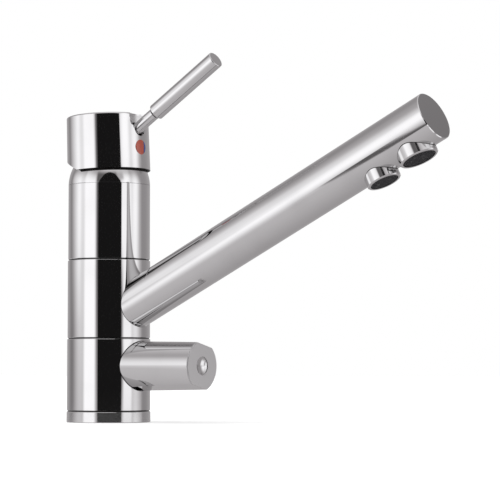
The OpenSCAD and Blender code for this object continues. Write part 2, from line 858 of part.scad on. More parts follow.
// Dished plug that hides the screw
module handle_plug() {
    rim_r = plug_r - plug_gap;
    dish_r = (rim_r * rim_r + plug_dish * plug_dish) / (plug_dish + plug_dish);
    color("silver") on_valve_axis() difference() {
        disc(plug_r, handle_reach - plug_t, handle_reach - plug_gap);
        translate([0, 0, handle_reach - plug_gap - plug_dish + dish_r]) sphere(r = dish_r);
    }
}

// Chromed cartridge housing, with three ports in its floor
module upper_body() {
    color("silver") difference() {
        drum(upper_r, upper_z, upper_top, drum_chamfer, seam_line);
        disc(core_spigot_r + push_fit, upper_z - over, core_top);
        disc(cartridge_r + push_fit, cartridge_z, upper_top + over);
        disc(nut_r + push_fit, shell_top, upper_top + over);
        for (n = [FILTERED, HOT, COLD]) {
            translate([inlet_x(n), inlet_y(n), 0]) disc(passage_r, core_top - over, cartridge_z + over);
        }
    }
}

// Plastic plate with three ports, each in a rubber seal
module cartridge_base() {
    color("white") difference() {
        disc(cartridge_r, cartridge_z, fixed_disc_z);
        for (n = [FILTERED, HOT, COLD]) {
            translate([inlet_x(n), inlet_y(n), 0]) {
                disc(port_r, cartridge_z - over, fixed_disc_z + over);
                disc(port_r + seal_t, cartridge_z - over, cartridge_z + seal_t);
            }
        }
    }
}

module cartridge_seals() {
    color("dimgray") for (n = [FILTERED, HOT, COLD]) {
        translate([inlet_x(n), inlet_y(n), cartridge_z]) tube(port_r + seal_t, port_r, 0, seal_t);
    }
}

module fixed_disc() {
    color("ivory") difference() {
        disc(shell_bore_r, fixed_disc_z, fixed_disc_top);
        for (n = [FILTERED, HOT, COLD]) {
            translate([inlet_x(n), inlet_y(n), 0]) {
                disc(port_r, fixed_disc_z - over, fixed_disc_top + over);
            }
        }
    }
}

// Disc with a blind mixing chamber in its underside
module moving_disc() {
    color("ivory") translate([disc_rest_x, 0, 0]) difference() {
        disc(moving_disc_r, moving_disc_z, moving_disc_top);
        disc(moving_disc_r / 2, moving_disc_z - over, moving_disc_z + disc_t / 2);
    }
}

// Plastic carrier that the spindle's ball pushes to and fro
module disc_carrier() {
    color("white") difference() {
        union() {
            translate([disc_rest_x, 0, 0]) intersection() {
                disc(carrier_r, moving_disc_top, carrier_z);
                translate([-carrier_r, -carrier_flat, moving_disc_top]) {
                    cube([carrier_r + carrier_r, carrier_flat + carrier_flat, carrier_t]);
                }
            }
            translate([ball_x, 0, 0]) disc(collar_r, carrier_z, carrier_z + collar_h);
        }
        translate([ball_x, 0, 0]) disc(ball_r + free_gap, carrier_z, carrier_z + collar_h + over);
    }
}

// Plastic shell with the neck that the rotor turns in
module cartridge_shell() {
    color("white") difference() {
        union() {
            disc(cartridge_r, fixed_disc_z, shell_top);
            disc(shell_neck_r, shell_top, shell_neck_top);
        }
        disc(shell_bore_r, fixed_disc_z - over, shell_ceiling);
        disc(rotor_neck_r + free_gap, shell_ceiling - over, shell_neck_top + over);
    }
}

// Plastic rotor: it turns with the lever, carries the pivot pin and guides the disc carrier
module cartridge_rotor() {
    slot_half = spindle_half + push_fit + push_fit;
    swing = lift_max + cap_tilt;
    cavity_back = collar_r + free_gap;
    cavity_front = ball_arm * sin(swing) + collar_r + free_gap;
    slot_back = spindle_half / cos(swing) + (rotor_neck_top - lift_z) * tan(swing) + free_gap;
    slot_front = ball_arm * sin(swing) + ball_r;
    color("lightgray") difference() {
        union() {
            disc(rotor_r, skirt_z, rotor_top);
            disc(rotor_neck_r, rotor_top, rotor_neck_top);
        }
        translate([-rotor_r - over, -carrier_flat - free_gap, skirt_z - over]) {
            cube([
                2 * (rotor_r + over), 2 * (carrier_flat + free_gap), carrier_z + free_gap - skirt_z + over
            ]);
        }
        translate([-cavity_back, -collar_r - free_gap, carrier_z]) {
            cube([cavity_back + cavity_front, 2 * (collar_r + free_gap), collar_h + free_gap]);
        }
        translate([-slot_back, -slot_half, carrier_z]) {
            cube([slot_back + slot_front, slot_half + slot_half, rotor_neck_top - carrier_z + over]);
        }
        translate([0, 0, lift_z]) rotate([90, 0, 0]) {
            disc(pin_r, -rotor_neck_r - over, rotor_neck_r + over);
        }
    }
}

module pivot_pin() {
    color("gray") translate([0, 0, lift_z]) rotate([90, 0, 0]) disc(pin_r, -rotor_neck_r, rotor_neck_r);
}

// Steel spindle: a square shank above the pin, an arm with a ball below it
module lever_spindle() {
    arm_r = ball_r - free_gap;
    eye_r = pin_r + collar_wall;
    color("gray") leaning() difference() {
        union() {
            translate([-spindle_half, -spindle_half, lift_z]) {
                cube([spindle_w, spindle_w, spindle_top - lift_z]);
            }
            translate([0, 0, lift_z]) rotate([90, 0, 0]) disc(eye_r, -spindle_half, spindle_half);
            disc(arm_r, lift_z - ball_arm, lift_z);
            translate([0, 0, lift_z - ball_arm]) sphere(r = ball_r);
        }
        translate([0, 0, lift_z]) rotate([90, 0, 0]) disc(pin_r + run_fit, -spindle_w, spindle_w);
    }
}

// Brass nut that clamps the cartridge, with four slots for a spanner
module cartridge_nut() {
    color("goldenrod") difference() {
        union() {
            disc(nut_r, shell_top, upper_top);
            disc(nut_neck_r, shell_top, nut_neck_top);
        }
        disc(shell_neck_r + push_fit, shell_top - over, nut_neck_top + over);
        for (turn = [45 : 90 : 315]) {
            rotate(turn) translate([shell_neck_r, -nut_slot_w / 2, nut_neck_top - nut_slot_w / 2]) {
                cube([nut_neck_r, nut_slot_w, nut_slot_w]);
            }
        }
    }
}

// Domed trim ring, part of a ball about the lift axis
module shoulder_ring() {
    color("silver") difference() {
        union() {
            intersection() {
                translate([0, 0, lift_z]) sphere(r = upper_r);
                disc(upper_r, shoulder_z, shoulder_top);
            }
            disc(shoulder_seat_r, upper_top, shoulder_z + over);
        }
        disc(nut_neck_r + push_fit, upper_top - over, nut_neck_top + push_fit);
        disc(shoulder_hole_r, nut_neck_top, shoulder_top + over);
    }
}

// An outline of [x, z] points made into a plate, half to each side of the plane of the lever
module upright(half) {
    translate([0, half, 0]) rotate([90, 0, 0]) linear_extrude(2 * half) children();
}

// The notch has a hollow back, so it fades out towards the rim's corners
module notch_cut() {
    half = notch_r * cos(notch_angle);
    foot = -notch_r * sin(notch_angle);
    rim = notch_depth;
    wide = half + (rim - foot) * tan(notch_angle);
    for (part = [0, 1]) {
        intersection() {
            translate([0, 0, notch_centre_z]) rotate([90, 0, 90]) {
                if (part == 0) cylinder(r = notch_r, h = cap_r + cap_r);
                if (part == 1) linear_extrude(cap_r + cap_r) {
                    polygon([
                        [-half + notch_lap, foot], [half - notch_lap, foot], [wide, rim], [-wide, rim]
                    ]);
                }
            }
            translate([notch_x + notch_face_r, 0, 0]) disc(notch_face_r, cap_z, cap_top + over);
        }
    }
}

// Chromed cap that covers the cartridge and carries the lever
module handle_cap() {
    cut_tan = tan(back_cut_angle);
    color("silver") leaning() difference() {
        union() {
            difference() {
                rotate_extrude() {
                    polygon([
                        [0, cap_z], [cap_r, cap_z],
                        [cap_top_r, cap_top - cap_edge_r], [0, cap_top - cap_edge_r]
                    ]);
                    translate([0, cap_top - cap_edge_r]) square([cap_top_r - cap_edge_r, cap_edge_r]);
                    intersection() {
                        translate([cap_top_r - cap_edge_r, cap_top - cap_edge_r]) circle(r = cap_edge_r);
                        translate([0, cap_top - cap_edge_r]) square([cap_top_r, cap_edge_r]);
                    }
                }
                disc(cap_bore_r, cap_z - over, cap_ceiling);
            }
            intersection() {
                disc(cap_bore_r + cap_wall / 2, cap_z, cap_ceiling + over);
                union() {
                    upright(boss_half) polygon([
                        [-boss_back, boss_back_z], [-boss_ramp_x, boss_front_z], [cap_r, boss_front_z],
                        [cap_r, cap_ceiling + over], [-boss_back, cap_ceiling + over]
                    ]);
                    upright(pad_half) translate([pad_x, pad_z]) {
                        square([cap_r, cap_ceiling + over - pad_z]);
                    }
                }
            }
        }
        upright(cap_r + over) polygon([
            [-back_cut_start, cap_z], [-back_cut_start - cap_r, cap_z + cap_r * cut_tan],
            [-back_cut_start - cap_r, cap_z - over], [-back_cut_start, cap_z - over]
        ]);
        upright(spindle_half + push_fit) translate([-spindle_half - push_fit, boss_front_z - over]) {
            square([2 * (spindle_half + push_fit), spindle_top - boss_front_z + over]);
        }
        notch_cut();
        translate([0, 0, button_z]) rotate([0, 90, 0]) {
            disc(button_r, cap_r - button_depth, cap_r + over);
            disc(screw_way_r, 0, cap_r);
        }
        translate([0, 0, lever_z]) rotate([0, 90 - lever_angle, 0]) {
            disc(neck_rod_r, neck_rod_start, cap_r + cap_r);
        }
    }
}

// Grub screw behind the button, which clamps the cap on the spindle
module set_screw() {
    color("gray") leaning() translate([0, 0, button_z]) rotate([0, 90, 0]) difference() {
        disc(set_screw_r, spindle_half + film, set_screw_end);
        disc(set_screw_r * socket_share, set_screw_end - set_screw_r, set_screw_end + over, $fn = 6);
    }
}

module lever_neck() {
    color("silver") on_lever_axis() disc(neck_rod_r, neck_rod_start, grip_start + neck_in_grip);
}

// Round bar with a chamfered start and a softly rounded tip
module lever_grip() {
    color("silver") on_lever_axis() difference() {
        rotate_extrude() {
            polygon([
                [0, grip_start], [grip_r - grip_chamfer, grip_start], [grip_r, grip_start + grip_chamfer],
                [grip_r, lever_reach - tip_edge_r], [0, lever_reach - tip_edge_r]
            ]);
            translate([0, lever_reach - tip_edge_r]) square([grip_r - tip_edge_r, tip_edge_r]);
            intersection() {
                translate([grip_r - tip_edge_r, lever_reach - tip_edge_r]) circle(r = tip_edge_r);
                translate([0, lever_reach - tip_edge_r]) square([grip_r, tip_edge_r]);
            }
        }
        disc(neck_rod_r, grip_start - over, grip_start + neck_in_grip);
    }
}

// Index button, red for hot on one half and blue for cold on the other
module index_button() {
    face_x = cap_r - cap_draft * button_rise / cap_h;
    dome_r = (button_r * button_r + button_dome * button_dome) / (button_dome + button_dome);
    color("firebrick") leaning() translate([0, 0, button_z]) rotate([0, 90, 0]) intersection() {
        disc(button_r, cap_r - button_depth, face_x + button_dome);
        translate([0, 0, face_x + button_dome - dome_r]) sphere(r = dome_r);
    }
}

base_ring();
base_gasket();
lower_body();
core_column();
core_o_rings();
core_joint_seals();
lower_slip_ring();
upper_slip_ring();
upper_body();
valve_headwork();
valve_seat_seal();
valve_fixed_disc();
valve_moving_disc();
valve_stem();
valve_stem_o_rings();
filter_handle();
handle_screw();
handle_plug();
spout_ring();
spout_tube();
spout_end_disc();
hose_nipple();
filter_hose();
main_outlet_bush();
main_aerator_seal();
main_aerator_housing();
main_aerator_insert();
filter_outlet_bush();
filter_aerator_seal();
filter_aerator_housing();
filter_aerator_insert();
cartridge_base();
cartridge_seals();
fixed_disc();
moving_disc();
disc_carrier();
cartridge_shell();
cartridge_rotor();
pivot_pin();
lever_spindle();
cartridge_nut();
shoulder_ring();
handle_cap();
set_screw();
lever_neck();
lever_grip();
index_button();
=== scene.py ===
"""Finishes, small parts and stage of a three-way filtered kitchen tap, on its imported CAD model."""

import json
import math
from collections import namedtuple

import bpy
from mathutils import Matrix, Vector


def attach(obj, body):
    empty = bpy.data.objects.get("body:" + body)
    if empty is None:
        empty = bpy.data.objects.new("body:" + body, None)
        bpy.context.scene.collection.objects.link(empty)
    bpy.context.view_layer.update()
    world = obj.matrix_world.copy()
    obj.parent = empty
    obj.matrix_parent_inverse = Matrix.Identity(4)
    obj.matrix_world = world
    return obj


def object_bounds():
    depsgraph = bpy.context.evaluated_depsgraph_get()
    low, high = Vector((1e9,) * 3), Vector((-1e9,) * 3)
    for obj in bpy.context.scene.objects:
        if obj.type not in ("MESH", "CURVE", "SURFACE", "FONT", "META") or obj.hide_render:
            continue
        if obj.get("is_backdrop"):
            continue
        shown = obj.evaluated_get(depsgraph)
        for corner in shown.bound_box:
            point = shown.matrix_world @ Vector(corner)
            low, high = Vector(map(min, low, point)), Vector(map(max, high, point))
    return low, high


bl_info = {
    "name": "Three-way kitchen tap",
    "version": (1, 0, 0),
    "blender": (4, 5, 0),
    "location": "3D View > Sidebar > Tap",
    "description": "Dresses the frame of a three-way filtered kitchen tap",
    "category": "Object",
}

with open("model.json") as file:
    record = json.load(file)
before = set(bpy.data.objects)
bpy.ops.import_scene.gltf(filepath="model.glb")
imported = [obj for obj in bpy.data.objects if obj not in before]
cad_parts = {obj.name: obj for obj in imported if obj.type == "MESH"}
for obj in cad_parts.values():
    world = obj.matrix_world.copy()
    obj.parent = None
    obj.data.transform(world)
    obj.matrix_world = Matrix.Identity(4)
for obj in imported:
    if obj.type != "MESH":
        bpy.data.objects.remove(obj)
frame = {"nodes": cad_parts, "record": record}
CAD_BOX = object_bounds()
MM = 0.001

# Directions in the part's own frame, and a place beyond every piece
FORWARD = (1, 0, 0)
UP = (0, 0, 1)
DOWN = (0, 0, -1)
BEYOND = 1.0

# Which CAD nodes take which finish
POLISHED = [
    "base_ring", "lower_body", "spout_ring", "upper_body", "shoulder_ring", "handle_cap",
    "spout_tube", "spout_end_disc", "lever_neck", "lever_grip", "filter_handle", "handle_plug",
    "main_outlet_bush", "main_aerator_housing", "filter_outlet_bush", "filter_aerator_housing",
]
TURNED_BRASS = ["core_column", "valve_headwork", "valve_stem", "hose_nipple", "cartridge_nut"]
RUBBER = [
    "base_gasket", "core_o_rings", "core_joint_seals", "valve_seat_seal", "valve_stem_o_rings",
    "main_aerator_seal", "filter_aerator_seal", "cartridge_seals",
]
AERATOR_INSERTS = ["main_aerator_insert", "filter_aerator_insert"]
SLIP_RINGS = ["lower_slip_ring", "upper_slip_ring"]
WHITE_PLASTIC = ["cartridge_base", "disc_carrier", "cartridge_shell"]
GREY_PLASTIC = ["cartridge_rotor"]
CERAMIC = ["valve_fixed_disc", "valve_moving_disc", "fixed_disc", "moving_disc"]
STEEL = ["handle_screw", "pivot_pin", "lever_spindle", "set_screw"]
HOSE = ["filter_hose"]
BUTTON = "index_button"

WHITE = (1, 1, 1, 1)
LIME = (0.3, 0.3, 0.29)
RUBBER_BLOOM = (0.05, 0.05, 0.052)
ENAMEL_CLOUD = (0.02, 0.01, 0.02)
ENAMEL_LINE = (0.02, 0.02, 0.02)

# How far behind the tap's middle plane the button's hot and cold halves meet, how softly, and half
# the width of the dark line between them, where it is full and where it ends
INDEX_SPLIT = 2.4 * MM
INDEX_BLEND = 0.02 * MM
INDEX_LINE = (0.1 * MM, 0.2 * MM)

# Faces count as one flat face when they lie and turn this much alike
SAME_PLACE = 0.01 * MM
SAME_TURN = 0.9999


class TapFinishSettings(bpy.types.PropertyGroup):
    """Colours of the finishes and of the painted shade in the joints, and the haze on the base ring.
    """

    chrome: bpy.props.FloatVectorProperty(
        name="Chrome", description="Colour of the polished chrome plate",
        default=(0.65, 0.6465, 0.6485), size=3, subtype="COLOR", min=0, max=1)
    # Painted shade: this near-black colour stands for the shade inside the joints and gaps, where
    # the metal is also made rougher.
    joint: bpy.props.FloatVectorProperty(
        name="Joint", description="Colour of the unpolished metal inside the joints",
        default=(0.022, 0.02, 0.0195), size=3, subtype="COLOR", min=0, max=1)
    brass: bpy.props.FloatVectorProperty(
        name="Brass", description="Colour of the bare turned brass",
        default=(0.78, 0.57, 0.27), size=3, subtype="COLOR", min=0, max=1)
    steel: bpy.props.FloatVectorProperty(
        name="Steel", description="Colour of the stainless steel pieces",
        default=(0.56, 0.55, 0.54), size=3, subtype="COLOR", min=0, max=1)
    wire: bpy.props.FloatVectorProperty(
        name="Wire", description="Colour of the woven wire in the outlets",
        default=(0.086, 0.086, 0.09), size=3, subtype="COLOR", min=0, max=1)
    rubber: bpy.props.FloatVectorProperty(
        name="Rubber", description="Colour of the seals",
        default=(0.018, 0.018, 0.019), size=3, subtype="COLOR", min=0, max=1)
    insert: bpy.props.FloatVectorProperty(
        name="Aerator insert",
        description="Colour of the slip rings and of the cups behind the wire screens",
        default=(0.012, 0.012, 0.013), size=3, subtype="COLOR", min=0, max=1)
    white_plastic: bpy.props.FloatVectorProperty(
        name="White plastic", description="Colour of the cartridge's shell and base",
        default=(0.72, 0.72, 0.69), size=3, subtype="COLOR", min=0, max=1)
    grey_plastic: bpy.props.FloatVectorProperty(
        name="Grey plastic", description="Colour of the cartridge's rotor",
        default=(0.22, 0.23, 0.24), size=3, subtype="COLOR", min=0, max=1)
    ceramic: bpy.props.FloatVectorProperty(
        name="Ceramic", description="Colour of the ceramic discs",
        default=(0.8, 0.77, 0.7), size=3, subtype="COLOR", min=0, max=1)
    hose: bpy.props.FloatVectorProperty(
        name="Hose", description="Colour of the filtered water hose",
        default=(0.74, 0.76, 0.77), size=3, subtype="COLOR", min=0, max=1)
    hot: bpy.props.FloatVectorProperty(
        name="Hot", description="Colour of the index button's hot half",
        default=(0.5, 0.07, 0.03), size=3, subtype="COLOR", min=0, max=1)
    cold: bpy.props.FloatVectorProperty(
        name="Cold", description="Colour of the index button's cold half",
        default=(0.015, 0.05, 0.3), size=3, subtype="COLOR", min=0, max=1)
    haze: bpy.props.FloatProperty(
        name="Base haze", description="How much dried water dims the shine of the base ring",
        default=0.085, min=0, max=1, subtype="FACTOR")


class TapDetailSettings(bpy.types.PropertyGroup):
    """Sizes of the screens and threads, of the places where a finish changes, and of the places that
    get painted shade.
    """

    wire_d: bpy.props.FloatProperty(
        name="Wire", description="Diameter of the wire of the outlet screens",
        default=0.32 * MM, unit="LENGTH", precision=5)
    wire_pitch: bpy.props.FloatProperty(
        name="Mesh", description="Distance between the wires of the outlet screens",
        default=0.85 * MM, unit="LENGTH", precision=5)
    screen_gap: bpy.props.FloatProperty(
        name="Screen gap", description="Gap between a screen and the rim round it",
        default=0.05 * MM, unit="LENGTH", precision=5)
    stud_pitch: bpy.props.FloatProperty(
        name="Stud pitch", description="Pitch of the fixing stud's thread",
        default=1.25 * MM, unit="LENGTH", precision=5)
    inlet_pitch: bpy.props.FloatProperty(
        name="Inlet pitch", description="Pitch of the inlets' threads",
        default=1.0 * MM, unit="LENGTH", precision=5)
    # Painted shade: the groove above the base ring is painted dark.
    groove: bpy.props.FloatProperty(
        name="Shadow groove", description="Height of the groove above the base ring",
        default=0.5 * MM, unit="LENGTH", precision=5)
    # Painted shade: the depth of the dark skin painted on faces where pieces meet; the knob's
    # blasted end uses it too.
    face_depth: bpy.props.FloatProperty(
        name="Dull skin", description="How far the dull metal of a joint comes out of its face",
        default=0.04 * MM, unit="LENGTH", precision=5)
    # Painted shade: the width of the dark line painted where two round pieces meet.
    joint_width: bpy.props.FloatProperty(
        name="Joint line", description="Width of the dark line where two round pieces meet",
        default=0.25 * MM, unit="LENGTH", precision=5)
    # Painted shade: the width of the dark ring painted round the neck where the grip starts.
    lever_ring: bpy.props.FloatProperty(
        name="Lever ring", description="Width of the dark ring round the neck where the grip starts",
        default=0.65 * MM, unit="LENGTH", precision=5)
    blasted: bpy.props.FloatProperty(
        name="Blasted end", description="Depth of the blasted finish on the knob's end",
        default=0.64 * MM, unit="LENGTH", precision=5)
    notch_skin: bpy.props.FloatProperty(
        name="Notch skin", description="Depth under the cap's outside where its notch starts",
        default=0.8 * MM, unit="LENGTH", precision=5)
    # Painted shade: the radius of the dark patch painted round the lever in the cap's notch.
    lever_root: bpy.props.FloatProperty(
        name="Lever root", description="Radius of the dark gap round the lever in the cap's notch",
        default=4.5 * MM, unit="LENGTH", precision=5)
    # Painted shade: the cap's inside, deeper than this skin and up to the height below, is painted
    # dark.
    cap_skin: bpy.props.FloatProperty(
        name="Cap skin", description="Depth under the cap's outside where its inside starts",
        default=1.5 * MM, unit="LENGTH", precision=5)
    # Painted shade: the height inside the cap that is painted dark.
    cap_skirt: bpy.props.FloatProperty(
        name="Cap skirt", description="Height inside the cap that is left dull",
        default=12 * MM, unit="LENGTH", precision=5)
    thread_share: bpy.props.FloatProperty(
        name="Thread height",
        description="Height of a thread's visible crest as a share of its pitch",
        default=0.16, min=0, max=1, subtype="FACTOR")


class TapStageSettings(bpy.types.PropertyGroup):
    """Camera, floor and light."""

    camera_place: bpy.props.FloatVectorProperty(
        name="Camera", description="Where the camera stands",
        default=(0.8058, -1.0036, 0.0318), size=3, subtype="TRANSLATION", unit="LENGTH")
    camera_pitch: bpy.props.FloatProperty(
        name="Camera pitch", description="Tilt of the camera from straight down",
        default=math.radians(93.1686), unit="ROTATION")
    camera_yaw: bpy.props.FloatProperty(
        name="Camera yaw", description="Turn of the camera about the vertical",
        default=math.radians(35), unit="ROTATION")
    lens: bpy.props.FloatProperty(
        name="Lens", description="Focal length in millimetres on a 36 mm sensor",
        default=154.5, min=20, unit="CAMERA")
    floor_size: bpy.props.FloatProperty(
        name="Floor", description="Side of the square floor", default=12, unit="LENGTH")
    floor_colour: bpy.props.FloatVectorProperty(
        name="Floor colour", description="Colour of the pale floor",
        default=(0.7, 0.7, 0.7), size=3, subtype="COLOR", min=0, max=1)
    floor_lift: bpy.props.FloatProperty(
        name="Floor lift", description="Light that the floor adds for the camera alone",
        default=0.42, min=0)
    glare: bpy.props.FloatProperty(
        name="Glare", description="How much brighter the studio's panels are than plain white",
        default=1.4, min=0)
    daylight: bpy.props.FloatProperty(
        name="Daylight", description="Level of the even light from all round", default=0.85, min=0)
    sun: bpy.props.FloatProperty(
        name="Lamp", description="Strength of the soft lamp overhead", default=0.9, min=0)
    sun_width: bpy.props.FloatProperty(
        name="Lamp width", description="Angle that the lamp spans in the sky",
        default=math.radians(40), unit="ROTATION")


class Value:
    """A number socket. Arithmetic on it adds Math nodes."""

    def __init__(self, graph, socket):
        self.graph = graph
        self.socket = socket

    def _math(self, operation, *numbers):
        node = self.graph.node("ShaderNodeMath", {"operation": operation}, dict(enumerate(numbers)))
        return Value(self.graph, node.outputs[0])

    def __add__(self, other):
        return self._math("ADD", self, other)

    def __radd__(self, other):
        return self._math("ADD", other, self)

    def __sub__(self, other):
        return self._math("SUBTRACT", self, other)

    def __rsub__(self, other):
        return self._math("SUBTRACT", other, self)

    def __mul__(self, other):
        return self._math("MULTIPLY", self, other)

    def __rmul__(self, other):
        return self._math("MULTIPLY", other, self)

    def __truediv__(self, other):
        return self._math("DIVIDE", self, other)

    def __rtruediv__(self, other):
        return self._math("DIVIDE", other, self)

    def __pow__(self, other):
        return self._math("POWER", self, other)

    def larger(self, other):
        return self._math("MAXIMUM", self, other)

    def smooth(self, low, high):
        """0 below low, 1 above high, and a soft step between them."""
        node = self.graph.node(
            "ShaderNodeMapRange", {"interpolation_type": "SMOOTHSTEP"},
            {"Value": self, "From Min": low, "From Max": high})
        return Value(self.graph, node.outputs["Result"])


class Graph:
    """Builds one node tree."""

    def __init__(self, owner):
        owner.use_nodes = True
        self.tree = owner.node_tree
        self.tree.nodes.clear()

    def node(self, kind, settings=None, inputs=None):
        """Adds a node: its settings first, then the values or links of its sockets."""
        node = self.tree.nodes.new(kind)
        for name, value in (settings or {}).items():
            setattr(node, name, value)
        for name, value in (inputs or {}).items():
            if isinstance(value, Value):
                value = value.socket
            socket = node.inputs[name]
            if isinstance(value, bpy.types.NodeSocket):
                self.tree.links.new(value, socket)
            elif socket.type == "RGBA" and len(value) == 3:
                socket.default_value = (*value, 1)
            else:
                socket.default_value = value
        return node

    def value(self, kind, settings, inputs, output):
        """The named output of a new node, as a number that can be calculated with."""
        return Value(self, self.node(kind, settings, inputs).outputs[output])

    def vector(self, operation, *inputs):
        """A Vector Math node's vector."""
        settings = {"operation": operation}
        return self.node("ShaderNodeVectorMath", settings, dict(enumerate(inputs))).outputs["Vector"]

    def dot(self, a, b):
        """How far vector a goes along vector b."""
        settings = {"operation": "DOT_PRODUCT"}
        return self.value("ShaderNodeVectorMath", settings, {0: a, 1: b}, "Value")

    def mix(self, share, a, b):
        """Colour a, turned into colour b by share."""
        node = self.node("ShaderNodeMix", {"data_type": "RGBA"}, {"Factor": share, 6: a, 7: b})
        return node.outputs[2]

    def place(self):
        """The point on the piece, in metres of the part's own frame."""
        return self.node("ShaderNodeTexCoord").outputs["Object"]

    def noise(self, place, scale, detail=2, stretch=(1, 1, 1)):
        """Smooth noise from 0 to 1, with scale features to the metre."""
        if stretch != (1, 1, 1):
            place = self.vector("MULTIPLY", place, stretch)
        return self.value(
            "ShaderNodeTexNoise", None,
            {"Vector": place, "Scale": scale, "Detail": detail}, "Fac")

    def bump(self, height, distance):
        """A normal from a height given in parts of distance, in metres."""
        node = self.node("ShaderNodeBump", None, {"Height": height, "Distance": distance})
        return node.outputs["Normal"]

    def surface(self, inputs):
        """A Principled surface with these sockets."""
        shader = self.node("ShaderNodeBsdfPrincipled", None, inputs)
        self.node("ShaderNodeOutputMaterial", None, {"Surface": shader.outputs[0]})


def new_material(name):
    """A material and the graph that builds it."""
    material = bpy.data.materials.new(name)
    return material, Graph(material)


def tint(graph, colour, share, amount):
    """The colour, darkened by up to amount where share is high."""
    dark = tuple(part * (1 - amount) for part in colour)
    return graph.mix(share, tuple(colour), dark)


def polished_chrome(settings, name="polished_chrome", dull_and_shaded=None, satin=None, haze=0.0):
    """Bright plate over buffed brass: wipe marks, hairlines and a faint ripple of the buffing wheel.

    Where the joint mask is high, the plate is thin and rough, and its colour is painted near black
    as the shade inside a joint.
    Where the mask that satin makes is high, the brass was blasted before plating. A haze of dried
    water dims the shine evenly.
    """
    material, graph = new_material(name)
    place = graph.place()
    film = graph.noise(place, scale=38, detail=3).smooth(0.42, 0.78)
    hair_round = graph.noise(place, scale=900, stretch=(0.06, 0.06, 1)).smooth(0.6, 0.75)
    hair_along = graph.noise(place, scale=900, stretch=(1, 1, 0.05)).smooth(0.64, 0.78)
    ripple = graph.noise(place, scale=55, detail=1)
    pores = graph.noise(place, scale=2600)
    height = ripple * 0.5 + pores * 0.012 + hair_round * 0.01
    colour = tint(graph, settings.chrome, film, 0.05)
    rough = 0.035 + film * 0.035 + hair_round * 0.02 + hair_along * 0.02
    if dull_and_shaded:
        # Painted shade: the joint mask darkens the colour towards near black, and also makes the
        # metal rougher.
        dull_shade = dull_and_shaded(graph, place)
        colour = graph.mix(dull_shade, colour, tuple(settings.joint))
        rough = rough + dull_shade * (0.3 + pores * 0.1)
    if satin:
        blasted = satin(graph, place)
        grain = graph.noise(place, scale=5200)
        rough = rough + blasted * (0.24 + grain * 0.08)
        height = height + blasted * grain * 0.03
    graph.surface({
        "Base Color": colour,
        "Metallic": 1 - haze,
        "Roughness": rough,
        "Normal": graph.bump(height, distance=0.03 * MM),
    })
    return material


def points_of(node):
    """The points of a CAD node."""
    return [vertex.co for vertex in frame["nodes"][node].data.vertices]


def node_range(node, way):
    """How far a node reaches along a direction: its nearest and its furthest point."""
    reach = [point.dot(Vector(way)) for point in points_of(node)]
    return min(reach), max(reach)


def flat_face(node, way, lean):
    """A node's outermost flat face that leans by less than lean degrees from a direction.

    Gives the face's normal, how far it is along that normal, and its centre.
    """
    faces = [face for face in frame["nodes"][node].data.polygons
             if face.normal.angle(Vector(way), math.pi) < math.radians(lean)]
    outer = max(faces, key=lambda face: face.center.dot(face.normal))
    normal = outer.normal.copy()
    reach = outer.center.dot(normal)
    same = [face for face in faces if abs(face.center.dot(normal) - reach) < SAME_PLACE
            and face.normal.dot(normal) > SAME_TURN]
    area = sum(face.area for face in same)
    return normal, reach, sum((face.center * face.area for face in same), Vector()) / area


def fading(value, edge, fade=0.03 * MM):
    """1 where the value is below the edge and 0 above it."""
    return 1 - value.smooth(edge - fade, edge + fade)


def from_axis(graph, place, origin, axis):
    """How far the point is from the line through origin."""
    arm = graph.vector("CROSS_PRODUCT", graph.vector("SUBTRACT", place, origin), axis)
    return graph.value("ShaderNodeVectorMath", {"operation": "LENGTH"}, {0: arm}, "Value")


def bands(way, *ranges):
    """A mask of slices across a direction, each from one place to another along it."""
    def mask(graph, place):
        rise = graph.dot(place, way)
        return sum(fading(rise, high) * (1 - fading(rise, low)) for low, high in ranges)
    return mask


def close_to(origin, axis, radius):
    """A mask of what lies near a line, such as where a piece meets a round one."""
    def mask(graph, place):
        return fading(from_axis(graph, place, origin, axis), radius)
    return mask


def cap_shape():
    """The cap as a cylinder.

    Gives a point on its axis, the axis downwards, its radius, and how far its bottom and its top are
    along the axis.
    """
    axis, bottom, _ = flat_face("handle_cap", DOWN, lean=6)
    lift = next(joint for joint in frame["record"]["behaviour"]["joints"]
                if joint["name"] == "lever_lift")
    centre = Vector(lift["pos_m"])
    points = points_of("handle_cap")
    radius = max((point - centre).cross(axis).length for point in points)
    return centre, axis, radius, bottom, min(point.dot(axis) for point in points)


def cap_notch(settings):
    """A mask of the notch in the cap, which is blasted as the knob's end is."""
    centre, axis, radius, _, top = cap_shape()

    def mask(graph, place):
        inside = fading(from_axis(graph, place, centre, axis), radius - settings.notch_skin)
        return inside * (1 - fading(graph.dot(place, axis), top + settings.notch_skin))
    return mask


def grip_start():
    """The face where the lever's grip starts, which looks back along the lever."""
    return flat_face("lever_grip", (-1, 0, -1), lean=20)


def cap_inside_shade(settings):
    """A mask of painted shade on the cap's lower edge, its inside and the gap round the lever, where
    the metal is also left rough.
    """
    centre, axis, radius, bottom, _ = cap_shape()
    lever, _, grip = grip_start()

    def mask(graph, place):
        height = bottom - graph.dot(place, axis)
        inside = fading(from_axis(graph, place, centre, axis), radius - settings.cap_skin)
        skirt = inside * fading(height, settings.cap_skirt)
        root = fading(from_axis(graph, place, grip, lever), settings.lever_root)
        return fading(height, settings.face_depth).larger(skirt).larger(root)
    return mask


